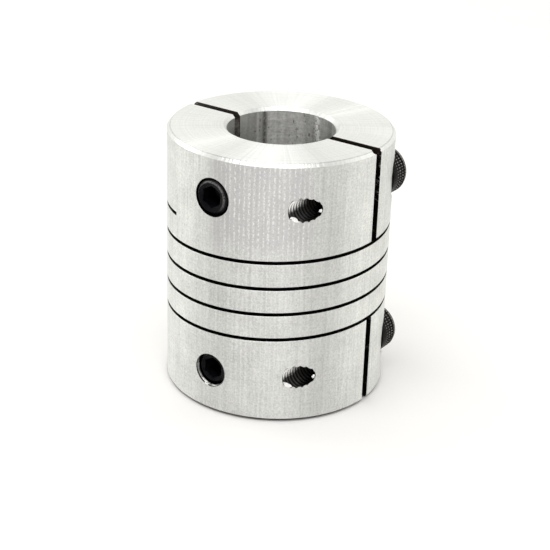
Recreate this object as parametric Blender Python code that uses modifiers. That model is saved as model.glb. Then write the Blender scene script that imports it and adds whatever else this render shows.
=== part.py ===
"""One-piece beam coupling, 25 mm across and 30 mm long, with a clamp screw and a set screw in each hub.

The body is turned from one bar, and a helical cut makes its middle a spring. The hubs are split, so
that a clamp screw closes a jaw on the shaft. The coupling stands on its lower end with its axis along
+Z, the split of both hubs lies in the XZ plane, and the set screws point along -Y.

The bar is cut as the real one is. The beam and the two jaws bend where they join the hubs, so short
cross-cuts part them there, and every length between two cuts becomes a node of its own.
"""

import math

import bmesh
import bpy
from mathutils import Matrix, Vector

MM = 0.001

# Body
BODY_RADIUS = 12.5 * MM
BORE_RADIUS = 6.0 * MM
BODY_LENGTH = 30.0 * MM
EDGE_CHAMFER = 0.25 * MM
BORE_CHAMFER = 0.35 * MM
FACET_DEG = 5.0

# Helical cut, whose angle is counted from +X and is zero on the upper hub's split
CUT_PITCH = 3.0 * MM
CUT_WIDTH = 0.4 * MM
CUT_START_DEG = -1322.5
CUT_END_DEG = 242.5
CUT_MIDDLE_DEG = (CUT_START_DEG + CUT_END_DEG) / 2

# Splits of the hubs
SPLIT_WIDTH = 0.92 * MM
BLIND_SPLIT_DEPTH = 6.0 * MM
PARTING = 0.3 * MM

# Beam, in equal lengths between the first and the last cross-cut. The beam twists at one of the
# cuts between, which is wide enough for three degrees each way.
BEAM_LENGTHS = 5
ROOT_DEG = 5.0
TWIST_CUT = 2
TWIST_PARTING = 0.75 * MM

# M3 clamp screws, parallel to Y
CLAMP_X = 9.0 * MM
CLAMP_Z = {"lower": 5.5 * MM, "upper": 25.0 * MM}
CLAMP_LENGTH = 10.0 * MM
CLAMP_SHANK_RADIUS = 1.2 * MM
CLAMP_HEAD_RADIUS = 2.75 * MM
CLAMP_HEAD_HEIGHT = 3.0 * MM
CLAMP_HEAD_CHAMFER = 0.3 * MM
CLAMP_SEAT_Y = 4.7 * MM
CLAMP_KEY = 2.5 * MM
CLAMP_KEY_DEPTH = 1.5 * MM
CLAMP_HOLE_RADIUS = 1.7 * MM
CLAMP_THREAD_RADIUS = 1.4 * MM
SEAT_GAP = 0.3 * MM

# M4 set screws, along -Y
SET_Z = {"lower": 5.0 * MM, "upper": 25.4 * MM}
SET_OUTER_END = {"lower": 12.0 * MM, "upper": 12.6 * MM}
SET_LENGTH = 5.0 * MM
SET_RADIUS = 1.9 * MM
SET_CHAMFER = 0.35 * MM
SET_CUP_RADIUS = 1.0 * MM
SET_CUP_DEPTH = 0.5 * MM
SET_KEY = 2.0 * MM
SET_KEY_DEPTH = 2.2 * MM
SET_HOLE_RADIUS = 2.15 * MM

CUTTER_INNER_RADIUS = 4.5 * MM
CUTTER_OUTER_RADIUS = 14.0 * MM
OVERRUN = 1.0 * MM
SCREW_STEPS = 32
MERGE = 1e-6


def clear_scene():
    for obj in list(bpy.data.objects):
        bpy.data.objects.remove(obj)


def new_collection(name):
    collection = bpy.data.collections.new(name)
    bpy.context.scene.collection.children.link(collection)
    return collection


def new_material(name, colour, metallic, roughness):
    material = bpy.data.materials.new(name)
    material.use_nodes = True
    material.diffuse_color = colour
    shader = material.node_tree.nodes["Principled BSDF"]
    shader.inputs["Base Color"].default_value = colour
    shader.inputs["Metallic"].default_value = metallic
    shader.inputs["Roughness"].default_value = roughness
    return material


def aluminium():
    return new_material("aluminium", (0.80, 0.80, 0.77, 1.0), 1.0, 0.35)


def black_oxide_steel():
    return new_material("black_oxide_steel", (0.03, 0.03, 0.035, 1.0), 0.8, 0.4)


def new_object(name, mesh, collection):
    obj = bpy.data.objects.new(name, mesh)
    collection.objects.link(obj)
    return obj


def object_from_bmesh(name, shape, collection):
    bmesh.ops.recalc_face_normals(shape, faces=shape.faces)
    mesh = bpy.data.meshes.new(name)
    shape.to_mesh(mesh)
    shape.free()
    return new_object(name, mesh, collection)


def cutter(name, shape, collection):
    """A solid that only cuts. It isn't part of the coupling."""
    obj = object_from_bmesh(name, shape, collection)
    obj.hide_render = True
    obj.display_type = "WIRE"
    return obj


def cut(obj, tool):
    modifier = obj.modifiers.new(tool.name, "BOOLEAN")
    modifier.operation = "DIFFERENCE"
    modifier.solver = "EXACT"
    modifier.object = tool


def turned(name, profile, steps, closed, collection):
    """A solid turned about its own Z axis. The profile holds (radius, height) and runs down its outer side."""
    mesh = bpy.data.meshes.new(name)
    edges = [(i, i + 1) for i in range(len(profile) - 1)]
    if closed:
        edges.append((len(profile) - 1, 0))
    mesh.from_pydata([(radius, 0.0, height) for radius, height in profile], edges, [])
    obj = new_object(name, mesh, collection)
    screw = obj.modifiers.new("turn", "SCREW")
    screw.axis = "Z"
    screw.steps = steps
    screw.render_steps = steps
    screw.use_merge_vertices = True
    screw.merge_threshold = MERGE
    return obj


def evaluated_mesh(obj):
    bpy.context.view_layer.update()
    graph = bpy.context.evaluated_depsgraph_get()
    return bpy.data.meshes.new_from_object(obj.evaluated_get(graph))


def box_shape(low, high):
    """A box between two corners."""
    low, high = Vector(low), Vector(high)
    shape = bmesh.new()
    bmesh.ops.create_cube(shape, size=1.0)
    bmesh.ops.scale(shape, vec=high - low, verts=shape.verts)
    bmesh.ops.translate(shape, vec=(low + high) / 2, verts=shape.verts)
    return shape


def rod_shape(radius, low_y, high_y, x, z, sides=SCREW_STEPS):
    """A round or many-sided rod parallel to Y."""
    shape = bmesh.new()
    bmesh.ops.create_cone(
        shape,
        cap_ends=True,
        segments=sides,
        radius1=radius,
        radius2=radius,
        depth=high_y - low_y,
        matrix=Matrix.Translation((x, (low_y + high_y) / 2, z)) @ Matrix.Rotation(math.pi / 2, 4, "X"),
    )
    return shape


def cut_height(angle_deg):
    """Height of the middle of the helical cut at an angle counted along the cut."""
    middle_height = BODY_LENGTH / 2
    return middle_height + CUT_PITCH * (angle_deg - CUT_MIDDLE_DEG) / 360


def helical_cutter(collection):
    """A radial strip as thick as the cut, swept up the helix from one end of the cut to the other."""
    low = cut_height(CUT_START_DEG) - CUT_WIDTH / 2
    high = low + CUT_WIDTH
    corners = [
        (CUTTER_INNER_RADIUS, low),
        (CUTTER_OUTER_RADIUS, low),
        (CUTTER_OUTER_RADIUS, high),
        (CUTTER_INNER_RADIUS, high),
    ]
    steps = round((CUT_END_DEG - CUT_START_DEG) / FACET_DEG)
    shape = bmesh.new()
    strip = shape.faces.new([shape.verts.new((radius, 0.0, height)) for radius, height in corners])
    bmesh.ops.rotate(
        shape,
        cent=(0, 0, 0),
        matrix=Matrix.Rotation(math.radians(CUT_START_DEG), 3, "Z"),
        verts=shape.verts,
    )
    bmesh.ops.spin(
        shape,
        geom=[strip, *strip.edges, *strip.verts],
        cent=(0, 0, 0),
        axis=(0, 0, 1),
        dvec=(0, 0, CUT_PITCH * FACET_DEG / 360),
        angle=math.radians(CUT_END_DEG - CUT_START_DEG),
        steps=steps,
    )
    return cutter("helical_cutter", shape, collection)


def cross_cutters(collection):
    """Thin radial slots across the beam, each reaching from one turn of the helical cut to the next."""
    first = CUT_START_DEG + 360 + ROOT_DEG
    last = CUT_END_DEG - ROOT_DEG
    cutters = []
    for index in range(BEAM_LENGTHS + 1):
        angle = first + (last - first) * index / BEAM_LENGTHS
        half = (TWIST_PARTING if index == TWIST_CUT else PARTING) / 2
        shape = box_shape(
            (CUTTER_INNER_RADIUS, -half, cut_height(angle - 360)),
            (CUTTER_OUTER_RADIUS, half, cut_height(angle)),
        )
        turn = Matrix.Rotation(math.radians(angle), 3, "Z")
        bmesh.ops.rotate(shape, cent=(0, 0, 0), matrix=turn, verts=shape.verts)
        cutters.append(cutter(f"cross_cutter_{index + 1}", shape, collection))
    return cutters


def split_cutters(collection):
    """For each hub: the open side of its split, the blind side, and the parting of the web that holds the jaw."""
    half = SPLIT_WIDTH / 2
    ends = {"upper": BODY_LENGTH, "lower": 0.0}
    open_side_deg = {"upper": 0, "lower": -1080}
    blind_side_deg = {"upper": 180, "lower": -1260}
    cutters = []
    for hub, end in ends.items():
        outwards = 1 if hub == "upper" else -1
        outside = end + outwards * OVERRUN
        blind_floor = end - outwards * BLIND_SPLIT_DEPTH
        spans = {
            "open_split": (0.0, CUTTER_OUTER_RADIUS, half, outside, cut_height(open_side_deg[hub])),
            "blind_split": (-CUTTER_OUTER_RADIUS, 0.0, half, outside, blind_floor),
            "web_parting": (
                -CUTTER_OUTER_RADIUS,
                0.0,
                PARTING / 2,
                blind_floor + outwards * PARTING,
                cut_height(blind_side_deg[hub]),
            ),
        }
        for kind, (low_x, high_x, half_y, one_z, other_z) in spans.items():
            shape = box_shape(
                (low_x, -half_y, min(one_z, other_z)),
                (high_x, half_y, max(one_z, other_z)),
            )
            cutters.append(cutter(f"{hub}_{kind}_cutter", shape, collection))
    return cutters


def screw_hole_cutters(hub, collection):
    """Drilled from both sides: head pocket and clearance hole at +Y, thread at -Y, and the set screw's hole."""
    outside = CUTTER_OUTER_RADIUS
    pocket_floor = CLAMP_SEAT_Y - SEAT_GAP
    clamp_z = CLAMP_Z[hub]
    rods = {
        "head_pocket": (CLAMP_HEAD_RADIUS + SEAT_GAP, pocket_floor, outside, CLAMP_X, clamp_z),
        "clearance_hole": (CLAMP_HOLE_RADIUS, 0.0, pocket_floor + SEAT_GAP, CLAMP_X, clamp_z),
        "clamp_thread": (CLAMP_THREAD_RADIUS, -outside, 0.0, CLAMP_X, clamp_z),
        "set_thread": (SET_HOLE_RADIUS, -outside, -BORE_RADIUS / 2, 0.0, SET_Z[hub]),
    }
    return [cutter(f"{hub}_{name}_cutter", rod_shape(*rod), collection) for name, rod in rods.items()]


def bar(collection):
    """The turned bar with its bore and chamfered ends, before any cut."""
    top = BODY_LENGTH
    profile = [
        (BODY_RADIUS - EDGE_CHAMFER, top),
        (BODY_RADIUS, top - EDGE_CHAMFER),
        (BODY_RADIUS, EDGE_CHAMFER),
        (BODY_RADIUS - EDGE_CHAMFER, 0.0),
        (BORE_RADIUS + BORE_CHAMFER, 0.0),
        (BORE_RADIUS, BORE_CHAMFER),
        (BORE_RADIUS, top - BORE_CHAMFER),
        (BORE_RADIUS + BORE_CHAMFER, top),
    ]
    return turned("bar", profile, round(360 / FACET_DEG), True, collection)


def islands(mesh):
    """The separate bodies of a mesh, as a list of sets of vertex indices."""
    shape = bmesh.new()
    shape.from_mesh(mesh)
    unseen = set(shape.verts)
    found = []
    while unseen:
        stack = [unseen.pop()]
        island = set(stack)
        while stack:
            vertex = stack.pop()
            for edge in vertex.link_edges:
                other = edge.other_vert(vertex)
                if other in unseen:
                    unseen.remove(other)
                    island.add(other)
                    stack.append(other)
        found.append({vertex.index for vertex in island})
    shape.free()
    return found


def kept_island(name, mesh, island, collection, material):
    """A node that holds one separate body of the cut bar."""
    shape = bmesh.new()
    shape.from_mesh(mesh)
    others = [vertex for vertex in shape.verts if vertex.index not in island]
    bmesh.ops.delete(shape, geom=others, context="VERTS")
    obj = object_from_bmesh(name, shape, collection)
    obj.data.materials.append(material)
    shade(obj)
    return obj


def shade(obj):
    obj.data.shade_smooth()
    obj.data.set_sharp_from_angle(angle=math.radians(30))


def body_names(mesh, found):
    """Pairs of node name and island: hubs and jaws by end and by side of the split, beam lengths upwards."""

    def middle(island):
        points = [mesh.vertices[index].co for index in island]
        low = Vector(map(min, *points))
        high = Vector(map(max, *points))
        return (low + high) / 2

    by_height = sorted(found, key=lambda island: middle(island).z)
    lower_pair, beam, upper_pair = by_height[:2], by_height[2:-2], by_height[-2:]
    lower_jaw, lower_hub = sorted(lower_pair, key=lambda island: middle(island).y)
    upper_hub, upper_jaw = sorted(upper_pair, key=lambda island: middle(island).y)
    named = [
        ("lower_hub", lower_hub),
        ("lower_clamp_jaw", lower_jaw),
        ("upper_hub", upper_hub),
        ("upper_clamp_jaw", upper_jaw),
    ]
    named += [(f"beam_length_{index + 1}", island) for index, island in enumerate(beam)]
    return named


def cut_body(coupling, cutters, material):
    """Cuts the bar and makes a node of each body that the cuts leave."""
    stock = bar(cutters)
    tools = [helical_cutter(cutters)]
    tools += cross_cutters(cutters)
    tools += split_cutters(cutters)
    for hub in ("lower", "upper"):
        tools += screw_hole_cutters(hub, cutters)
    for tool in tools:
        cut(stock, tool)
    mesh = evaluated_mesh(stock)
    stock.modifiers.clear()
    stock.hide_render = True
    stock.display_type = "WIRE"
    for name, island in body_names(mesh, islands(mesh)):
        kept_island(name, mesh, island, coupling, material)
    bpy.data.meshes.remove(mesh)


def add_key_socket(screw, end_z, across_flats, depth, cutters):
    """A blind hexagonal socket in the end of a screw that lies along its own Z axis."""
    corner_radius = across_flats / 2 / math.cos(math.pi / 6)
    shape = bmesh.new()
    bmesh.ops.create_cone(
        shape,
        cap_ends=True,
        segments=6,
        radius1=corner_radius,
        radius2=corner_radius,
        depth=depth + OVERRUN,
        matrix=Matrix.Translation((0, 0, end_z - depth + (depth + OVERRUN) / 2)),
    )
    tool = cutter(f"{screw.name}_key_cutter", shape, cutters)
    tool.matrix_world = screw.matrix_world
    cut(screw, tool)


def finished_screw(screw, end_z, across_flats, depth, rotation, location, cutters, material):
    screw.rotation_euler = rotation
    screw.location = location
    bpy.context.view_layer.update()
    add_key_socket(screw, end_z, across_flats, depth, cutters)
    mesh = evaluated_mesh(screw)
    screw.modifiers.clear()
    screw.data = mesh
    screw.data.materials.append(material)
    shade(screw)


def clamp_screw(hub, coupling, cutters, material):
    """M3 socket cap screw. Its own Z points out of the head, and its origin is at the seat, on its axis."""
    head_edge = CLAMP_HEAD_RADIUS - CLAMP_HEAD_CHAMFER
    profile = [
        (0.0, CLAMP_HEAD_HEIGHT),
        (head_edge, CLAMP_HEAD_HEIGHT),
        (CLAMP_HEAD_RADIUS, CLAMP_HEAD_HEIGHT - CLAMP_HEAD_CHAMFER),
        (CLAMP_HEAD_RADIUS, 0.0),
        (CLAMP_SHANK_RADIUS, 0.0),
        (CLAMP_SHANK_RADIUS, -CLAMP_LENGTH),
        (0.0, -CLAMP_LENGTH),
    ]
    screw = turned(f"{hub}_clamp_screw", profile, SCREW_STEPS, False, coupling)
    finished_screw(
        screw,
        CLAMP_HEAD_HEIGHT,
        CLAMP_KEY,
        CLAMP_KEY_DEPTH,
        (-math.pi / 2, 0, 0),
        (CLAMP_X, CLAMP_SEAT_Y, CLAMP_Z[hub]),
        cutters,
        material,
    )


def set_screw(hub, coupling, cutters, material):
    """M4 cup-point set screw. Its own Z points out of the hub, and its origin is at its cup end."""
    profile = [
        (0.0, SET_LENGTH),
        (SET_RADIUS - SET_CHAMFER, SET_LENGTH),
        (SET_RADIUS, SET_LENGTH - SET_CHAMFER),
        (SET_RADIUS, SET_CHAMFER),
        (SET_CUP_RADIUS, 0.0),
        (0.0, SET_CUP_DEPTH),
    ]
    screw = turned(f"{hub}_set_screw", profile, SCREW_STEPS, False, coupling)
    finished_screw(
        screw,
        SET_LENGTH,
        SET_KEY,
        SET_KEY_DEPTH,
        (math.pi / 2, 0, 0),
        (0, SET_LENGTH - SET_OUTER_END[hub], SET_Z[hub]),
        cutters,
        material,
    )


def build():
    clear_scene()
    coupling = new_collection("beam_coupling")
    cutters = new_collection("cutters")
    metal = aluminium()
    steel = black_oxide_steel()
    cut_body(coupling, cutters, metal)
    for hub in ("lower", "upper"):
        clamp_screw(hub, coupling, cutters, steel)
        set_screw(hub, coupling, cutters, steel)


build()
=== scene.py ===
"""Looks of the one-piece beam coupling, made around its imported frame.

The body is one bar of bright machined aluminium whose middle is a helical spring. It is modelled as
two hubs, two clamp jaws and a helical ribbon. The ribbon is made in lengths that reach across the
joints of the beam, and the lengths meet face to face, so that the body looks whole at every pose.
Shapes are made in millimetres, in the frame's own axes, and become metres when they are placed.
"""

import math

import bmesh
import bpy
import numpy as np
from mathutils import Matrix, Vector


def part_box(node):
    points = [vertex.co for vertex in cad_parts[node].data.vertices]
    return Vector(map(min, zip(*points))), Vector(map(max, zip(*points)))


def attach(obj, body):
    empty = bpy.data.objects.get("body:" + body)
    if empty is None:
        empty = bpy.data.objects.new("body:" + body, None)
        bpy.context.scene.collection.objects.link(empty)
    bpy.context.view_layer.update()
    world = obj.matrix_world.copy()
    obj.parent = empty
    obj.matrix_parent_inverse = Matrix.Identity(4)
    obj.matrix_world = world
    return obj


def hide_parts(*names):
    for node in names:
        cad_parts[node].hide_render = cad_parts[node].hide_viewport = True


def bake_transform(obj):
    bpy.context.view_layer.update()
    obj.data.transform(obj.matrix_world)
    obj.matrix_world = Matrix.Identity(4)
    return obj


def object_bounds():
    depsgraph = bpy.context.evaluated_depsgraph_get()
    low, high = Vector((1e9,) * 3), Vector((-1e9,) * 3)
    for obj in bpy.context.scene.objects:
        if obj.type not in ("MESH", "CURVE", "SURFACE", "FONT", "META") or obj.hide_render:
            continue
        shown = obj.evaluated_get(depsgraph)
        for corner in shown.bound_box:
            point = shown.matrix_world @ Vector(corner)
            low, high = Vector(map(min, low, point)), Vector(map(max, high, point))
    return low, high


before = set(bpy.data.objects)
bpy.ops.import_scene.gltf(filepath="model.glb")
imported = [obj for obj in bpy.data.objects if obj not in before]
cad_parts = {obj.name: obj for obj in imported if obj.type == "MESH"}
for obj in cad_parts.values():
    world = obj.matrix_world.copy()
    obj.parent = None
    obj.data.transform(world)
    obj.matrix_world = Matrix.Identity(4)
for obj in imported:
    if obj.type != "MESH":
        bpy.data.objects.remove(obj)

MM = 0.001
CAD_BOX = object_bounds()

# Body, in millimetres
RADIUS = CAD_BOX[1].x / MM
LENGTH = CAD_BOX[1].z / MM
BORE = 6.0
EDGE_CHAMFER = 0.35
BORE_CHAMFER = 0.35
EDGE_BREAK = 0.05
ROUND_STEPS = 180
BODY_SHARP_DEG = 28.0
HUBS = {"lower": 0.0, "upper": LENGTH}
OUTWARDS = {"lower": -1, "upper": 1}

# Helical cut, whose angle is counted from +X and is zero on the upper hub's split
CUT_PITCH = 3.0
CUT_WIDTH = 0.4
CUT_START_DEG = -1322.5
CUT_END_DEG = 242.5
CUT_MIDDLE_DEG = (CUT_START_DEG + CUT_END_DEG) / 2

# Beam: one turn above the start of the cut it leaves the lower hub
BEAM_LENGTHS = 5
BEAM_START_DEG = CUT_START_DEG + 360
BEAM_END_DEG = CUT_END_DEG
ROOT_DEG = 5.0

# Splits of the hubs, open at +X and blind at -X, where a web holds the jaw. The open split's outer
# corner is broken by a radius on either side: True is the jaw's.
SPLIT_HALF = 0.46
BLIND_DEPTH = 6.0
CORNER_BREAKS = {False: 0.42, True: 0.22}

# Clamp screws, M3, parallel to Y with their heads at +Y. The wave is one groove's depth round the head.
HEAD_HEIGHT = 3.0
HEAD_RADIUS = 2.75
HEAD_FOOT_RADIUS = 2.6
HEAD_FOOT_HEIGHT = 0.15
HEAD_CHAMFER = 0.15
KNURL_LOW = 1.05
KNURL_HIGH = 2.6
KNURL_DEPTH = 0.1
KNURL_GROOVES = 52
KNURL_WAVE = [0.0, 0.55, 1.0, 0.55]
KNURL_PITCH = 0.52
CLAMP_KEY = 2.5
CLAMP_KEY_DEPTH = 1.5
CLAMP_PITCH = 0.5
CLAMP_MAJOR = 1.11
CLAMP_MINOR = 0.95
CLAMP_TAP_MINOR = 1.2
CLAMP_TAP_MAJOR = 1.37
CLAMP_RELIEF = 1.24
CLAMP_RELIEF_SHIFT = 0.1
CLEARANCE_HOLE = 1.7
POCKET_RADIUS = 3.05
SEAT_GAP = 0.05
SHANK_OVERLAP = 0.2

# Set screws, M4, along -Y: the fits are the screw's major radius and end chamfer, and the hole's radius
SET_PITCH = 0.7
SET_THREAD_DEPTH = 0.25
SET_FITS = {"lower": (1.84, 0.3, 1.9), "upper": (1.96, 0.34, 2.08)}
SET_CUP_RADIUS = 1.0
SET_CUP_RIM = 0.08
SET_CUP_DEPTH = 0.5
SET_KEY = 2.2
SET_KEY_DEPTH = 2.2
RIM_RADIUS = 1.66

# Threads and round shapes. The shares of the pitch say where a thread's root begins and ends, and then
# its crest. A hair keeps a cut clear of the face beside it.
OUTSIDE = RADIUS + 2
THREAD_SHARES = (0.0, 0.22, 0.47, 0.75)
THREAD_STEPS = 48
FINE_STEPS = 96
COARSE_STEPS = 64
SCREW_SHARP_DEG = 32.0
HAIR = 0.001

# Marks, painted shade and painted highlights on the body, by angle from +X, and by height
# Painted light round -61 degrees: painted shade that darkens the turned side, and bright sparkle specks
# painted as highlights
PAINTED_LIGHT_DEG = -61.0
PAINTED_LIGHT_REACH_DEG = 30.0
PAINTED_LIGHT_FROM = 18.0
PAINTED_LIGHT_FULL = 22.0
DRAG_MARKS = 150
# Painted shade: a darker band round -86 degrees, high on the bar
SHADE_BAND_DEG = -86.0
SHADE_BAND_REACH_DEG = 8.0
# Painted shade: half the width of the darker line on the end face at the chamfer
EDGE_SHADE_REACH = 0.11
BORE_MARK_DEG = 143.0
BORE_MARK_REACH_DEG = 4.5
# Painted highlight: a bright stripe down the bore round 151 degrees
BORE_HIGHLIGHT_DEG = 151.0
BORE_HIGHLIGHT_REACH_DEG = 2.5
# Painted shade on the bore's wall round 62 degrees
BORE_SHADE_DEG = 62.0
BORE_SHADE_REACH_DEG = 18.0
BORE_SCRATCH_DEG = 82.0
BORE_SCRATCH_REACH_DEG = 6.0
# Painted shade: the sawn walls turn near-black below the upper end, between these heights
TOP_END_SHADE_FROM = LENGTH - 1.3
TOP_END_SHADE_FULL = LENGTH - 0.5
FLECKS_FROM = LENGTH - 9
FLECKS_FULL = LENGTH - 4

# Colours that more than one material uses, or that stand for something by themselves
# painted shade near the top of the sawn walls
TOP_END_PAINTED_SHADE = (0.04, 0.03, 0.025, 1)
# painted shade: near-black inside the holes
HOLE_PAINTED_SHADE = (0.012, 0.011, 0.01, 1)
BRIGHT = (0.98, 0.98, 0.97, 1)
# worn bare steel on knurl crests, and painted highlights on the screws
WORN_AND_HIGHLIGHT_STEEL = {"clamp": (0.28, 0.269, 0.258, 1), "set": (0.36, 0.345, 0.335, 1)}
STEEL_SPECULAR = {"clamp": 0.02, "set": 0.05}

# Chips left at the mouths of holes: hole, angle round the mouth, length, width, thickness, seed
CHIPS = {
    "lower": (
        ("clamp", 232, 1.0, 0.5, 0.25, 1),
        ("clamp", 352, 0.45, 0.35, 0.2, 2),
        ("set", 256, 0.6, 0.22, 0.2, 3),
    ),
    "upper": (
        ("clamp", 236, 1.0, 0.45, 0.25, 4),
        ("clamp", 350, 0.4, 0.4, 0.2, 5),
    ),
}
CHIP_RAGGED = 0.28
CHIP_SUNK = 0.3

# Camera, at the photograph's angle
CAMERA_DISTANCE = 161.9
CAMERA_AZIMUTH_DEG = 34.35
CAMERA_ELEVATION_DEG = 23.83
CAMERA_YAW_DEG = 0.072
CAMERA_PITCH_DEG = -0.977
CAMERA_ROLL_DEG = -1.828
CAMERA_LENS = 93.34

# Floor: half its side in metres, and how far it lies under the part in millimetres
FLOOR_HALF = 3.0
FLOOR_DROP = 0.02


# ---------------------------------------------------------------- materials


class Nodes:
    """A short way to write a node tree.

    Input sockets are given by name, or as i and a number. What goes into them is a socket or a value.
    """

    def __init__(self, tree):
        self.tree = tree
        tree.nodes.clear()

    def add(self, kind, output=0, settings=None, **inputs):
        node = self.tree.nodes.new(kind)
        for key, value in (settings or {}).items():
            setattr(node, key, value)
        for key, value in inputs.items():
            slot = int(key[1:]) if key[0] == "i" and key[1:].isdigit() else key.replace("_", " ")
            self.put(node.inputs[slot], value)
        return node.outputs[output] if node.outputs else None

    def put(self, socket, value):
        if isinstance(value, bpy.types.NodeSocket):
            self.tree.links.new(value, socket)
        else:
            socket.default_value = value

    def math(self, operation, a, b=0.0, clamp=False):
        settings = {"operation": operation, "use_clamp": clamp}
        return self.add("ShaderNodeMath", settings=settings, i0=a, i1=b)

    def vector(self, operation, a, b=(0, 0, 0)):
        return self.add("ShaderNodeVectorMath", settings={"operation": operation}, i0=a, i1=b)

    def dot(self, a, b):
        return self.add("ShaderNodeVectorMath", output=1, settings={"operation": "DOT_PRODUCT"}, i0=a, i1=b)

    def length(self, value):
        return self.add("ShaderNodeVectorMath", output=1, settings={"operation": "LENGTH"}, i0=value)

    def noise(self, place, scale, detail=2.0, roughness=0.5):
        return self.add("ShaderNodeTexNoise", Vector=place, Scale=scale, Detail=detail, Roughness=roughness)

    def ramp(self, value, low, high, to_low=0.0, to_high=1.0):
        """A clamped linear map of a value."""
        return self.add("ShaderNodeMapRange", i0=value, i1=low, i2=high, i3=to_low, i4=to_high)

    def smooth(self, value, low, high, to_low=0.0, to_high=1.0):
        """A clamped map that leaves and arrives gently."""
        return self.add(
            "ShaderNodeMapRange",
            settings={"interpolation_type": "SMOOTHSTEP"},
            i0=value,
            i1=low,
            i2=high,
            i3=to_low,
            i4=to_high,
        )

    def total(self, *terms):
        """The sum of (value, weight) pairs."""
        result = 0.0
        settings = {"operation": "MULTIPLY_ADD"}
        for value, weight in terms:
            result = self.add("ShaderNodeMath", settings=settings, i0=value, i1=weight, i2=result)
        return result

    def mix(self, factor, a, b):
        node = self.tree.nodes.new("ShaderNodeMix")
        node.data_type = "RGBA"
        self.put(node.inputs[0], factor)
        self.put(node.inputs[6], a)
        self.put(node.inputs[7], b)
        return node.outputs[2]


def screw_place(node):
    """Where a screw lies, which is along Y: x and z of its axis, and y of its two ends."""
    low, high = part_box(node)
    low, high = low / MM, high / MM
    return (low.x + high.x) / 2, (low.z + high.z) / 2, low.y, high.y


def new_material(name):
    """A material and the nodes that write it."""
    material = bpy.data.materials.new(name)
    material.use_nodes = True
    return material, Nodes(material.node_tree)


def millimetres(nodes):
    """The place on the piece, in millimetres along the frame's axes."""
    place = nodes.add("ShaderNodeTexCoord", output=3)
    return nodes.add("ShaderNodeVectorMath", settings={"operation": "SCALE"}, i0=place, Scale=1 / MM)


def stretched(nodes, place, x, y, z):
    """A place scaled along each axis: the smaller the number, the longer a pattern runs that way."""
    return nodes.vector("MULTIPLY", place, (x, y, z))


def off_axis(nodes, place):
    """The distance from the bar's axis."""
    return nodes.length(stretched(nodes, place, 1, 1, 0))


def about_axis(nodes, place):
    """The angle about the bar's axis from +X, and the height along it."""
    parts = nodes.tree.nodes.new("ShaderNodeSeparateXYZ")
    nodes.put(parts.inputs[0], place)
    return nodes.math("ARCTAN2", parts.outputs[1], parts.outputs[0]), parts.outputs[2]


def near_angle(nodes, angle, centre_deg, reach_deg, full_deg=0.0, to_low=0.0, to_high=1.0):
    """A share that is full within full_deg of an angle, and fades until reach_deg from it."""
    offset = nodes.math("ABSOLUTE", nodes.math("SUBTRACT", angle, math.radians(centre_deg)))
    return nodes.smooth(offset, math.radians(reach_deg), math.radians(full_deg), to_low, to_high)


def across_turning(nodes, place):
    """The direction on the surface that lies across the circular turning marks, along which gloss spreads."""
    around = nodes.vector("CROSS_PRODUCT", (0, 0, 1), place)
    normal = nodes.add("ShaderNodeNewGeometry", output=1)
    return nodes.vector("CROSS_PRODUCT", normal, around)


def surface(
    nodes,
    colour,
    roughness,
    height,
    bump,
    distance,
    metallic=1.0,
    anisotropic=0.0,
    tangent=None,
    specular=0.5,
):
    """The shader and its bump, where a height of one stands for a distance in millimetres."""
    inputs = {
        "Base_Color": colour,
        "Roughness": roughness,
        "Metallic": metallic,
        "Specular_IOR_Level": specular,
    }
    if anisotropic:
        inputs["Anisotropic"] = anisotropic
        inputs["Tangent"] = tangent
    inputs["Normal"] = nodes.add("ShaderNodeBump", Strength=bump, Distance=distance * MM, Height=height)
    shader = nodes.add("ShaderNodeBsdfPrincipled", **inputs)
    nodes.add("ShaderNodeOutputMaterial", Surface=shader)


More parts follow.
